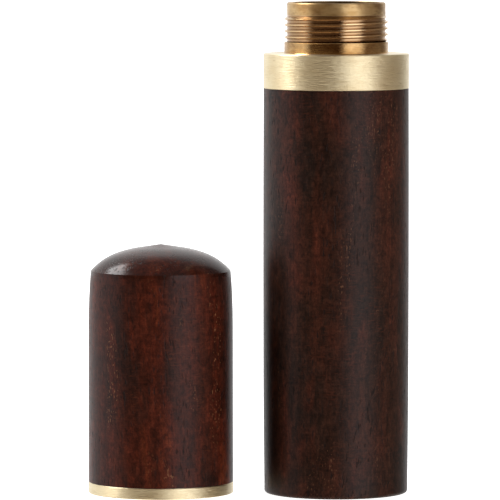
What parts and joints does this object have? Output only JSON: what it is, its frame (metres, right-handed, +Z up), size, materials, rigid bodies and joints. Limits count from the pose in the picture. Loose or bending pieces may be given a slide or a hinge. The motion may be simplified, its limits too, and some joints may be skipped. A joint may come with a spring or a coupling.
{
  "type": "needle case",
  "caption": "Round turned-wood needle case with a brass screw neck and brass bands, its domed screw cap unscrewed and standing beside it.",
  "frame": {"origin": "centre of the barrel's base, on the surface that the barrel and the cap stand on", "axes": "+Z up along the barrel's axis, -X from the barrel towards the cap, +Y away from a viewer who has the cap on the left"},
  "size_m": [0.0419, 0.019, 0.0641],
  "materials": {
    "barrel_wood": "satin",
    "cap_wood": "satin",
    "band_brass": "brushed",
    "neck_brass": "satin"
  },
  "bodies": {
    "barrel": {"barrel": "barrel_wood", "barrel_collar": "band_brass", "threaded_neck": "neck_brass"},
    "cap_band": {"cap_ring": "band_brass"},
    "cap": {"cap_shell": "cap_wood", "cap_insert": "neck_brass"}
  },
  "joints": [
    {"name": "cap_lift", "type": "slide", "parent": "barrel", "child": "cap_band", "axis": [0, 0, 1], "range_m": [0, 0.08]},
    {"name": "cap_turn", "type": "hinge", "parent": "cap_band", "child": "cap", "pos_m": [-0.0229, 0, 0], "axis": [0, 0, 1], "continuous": true}
  ]
}
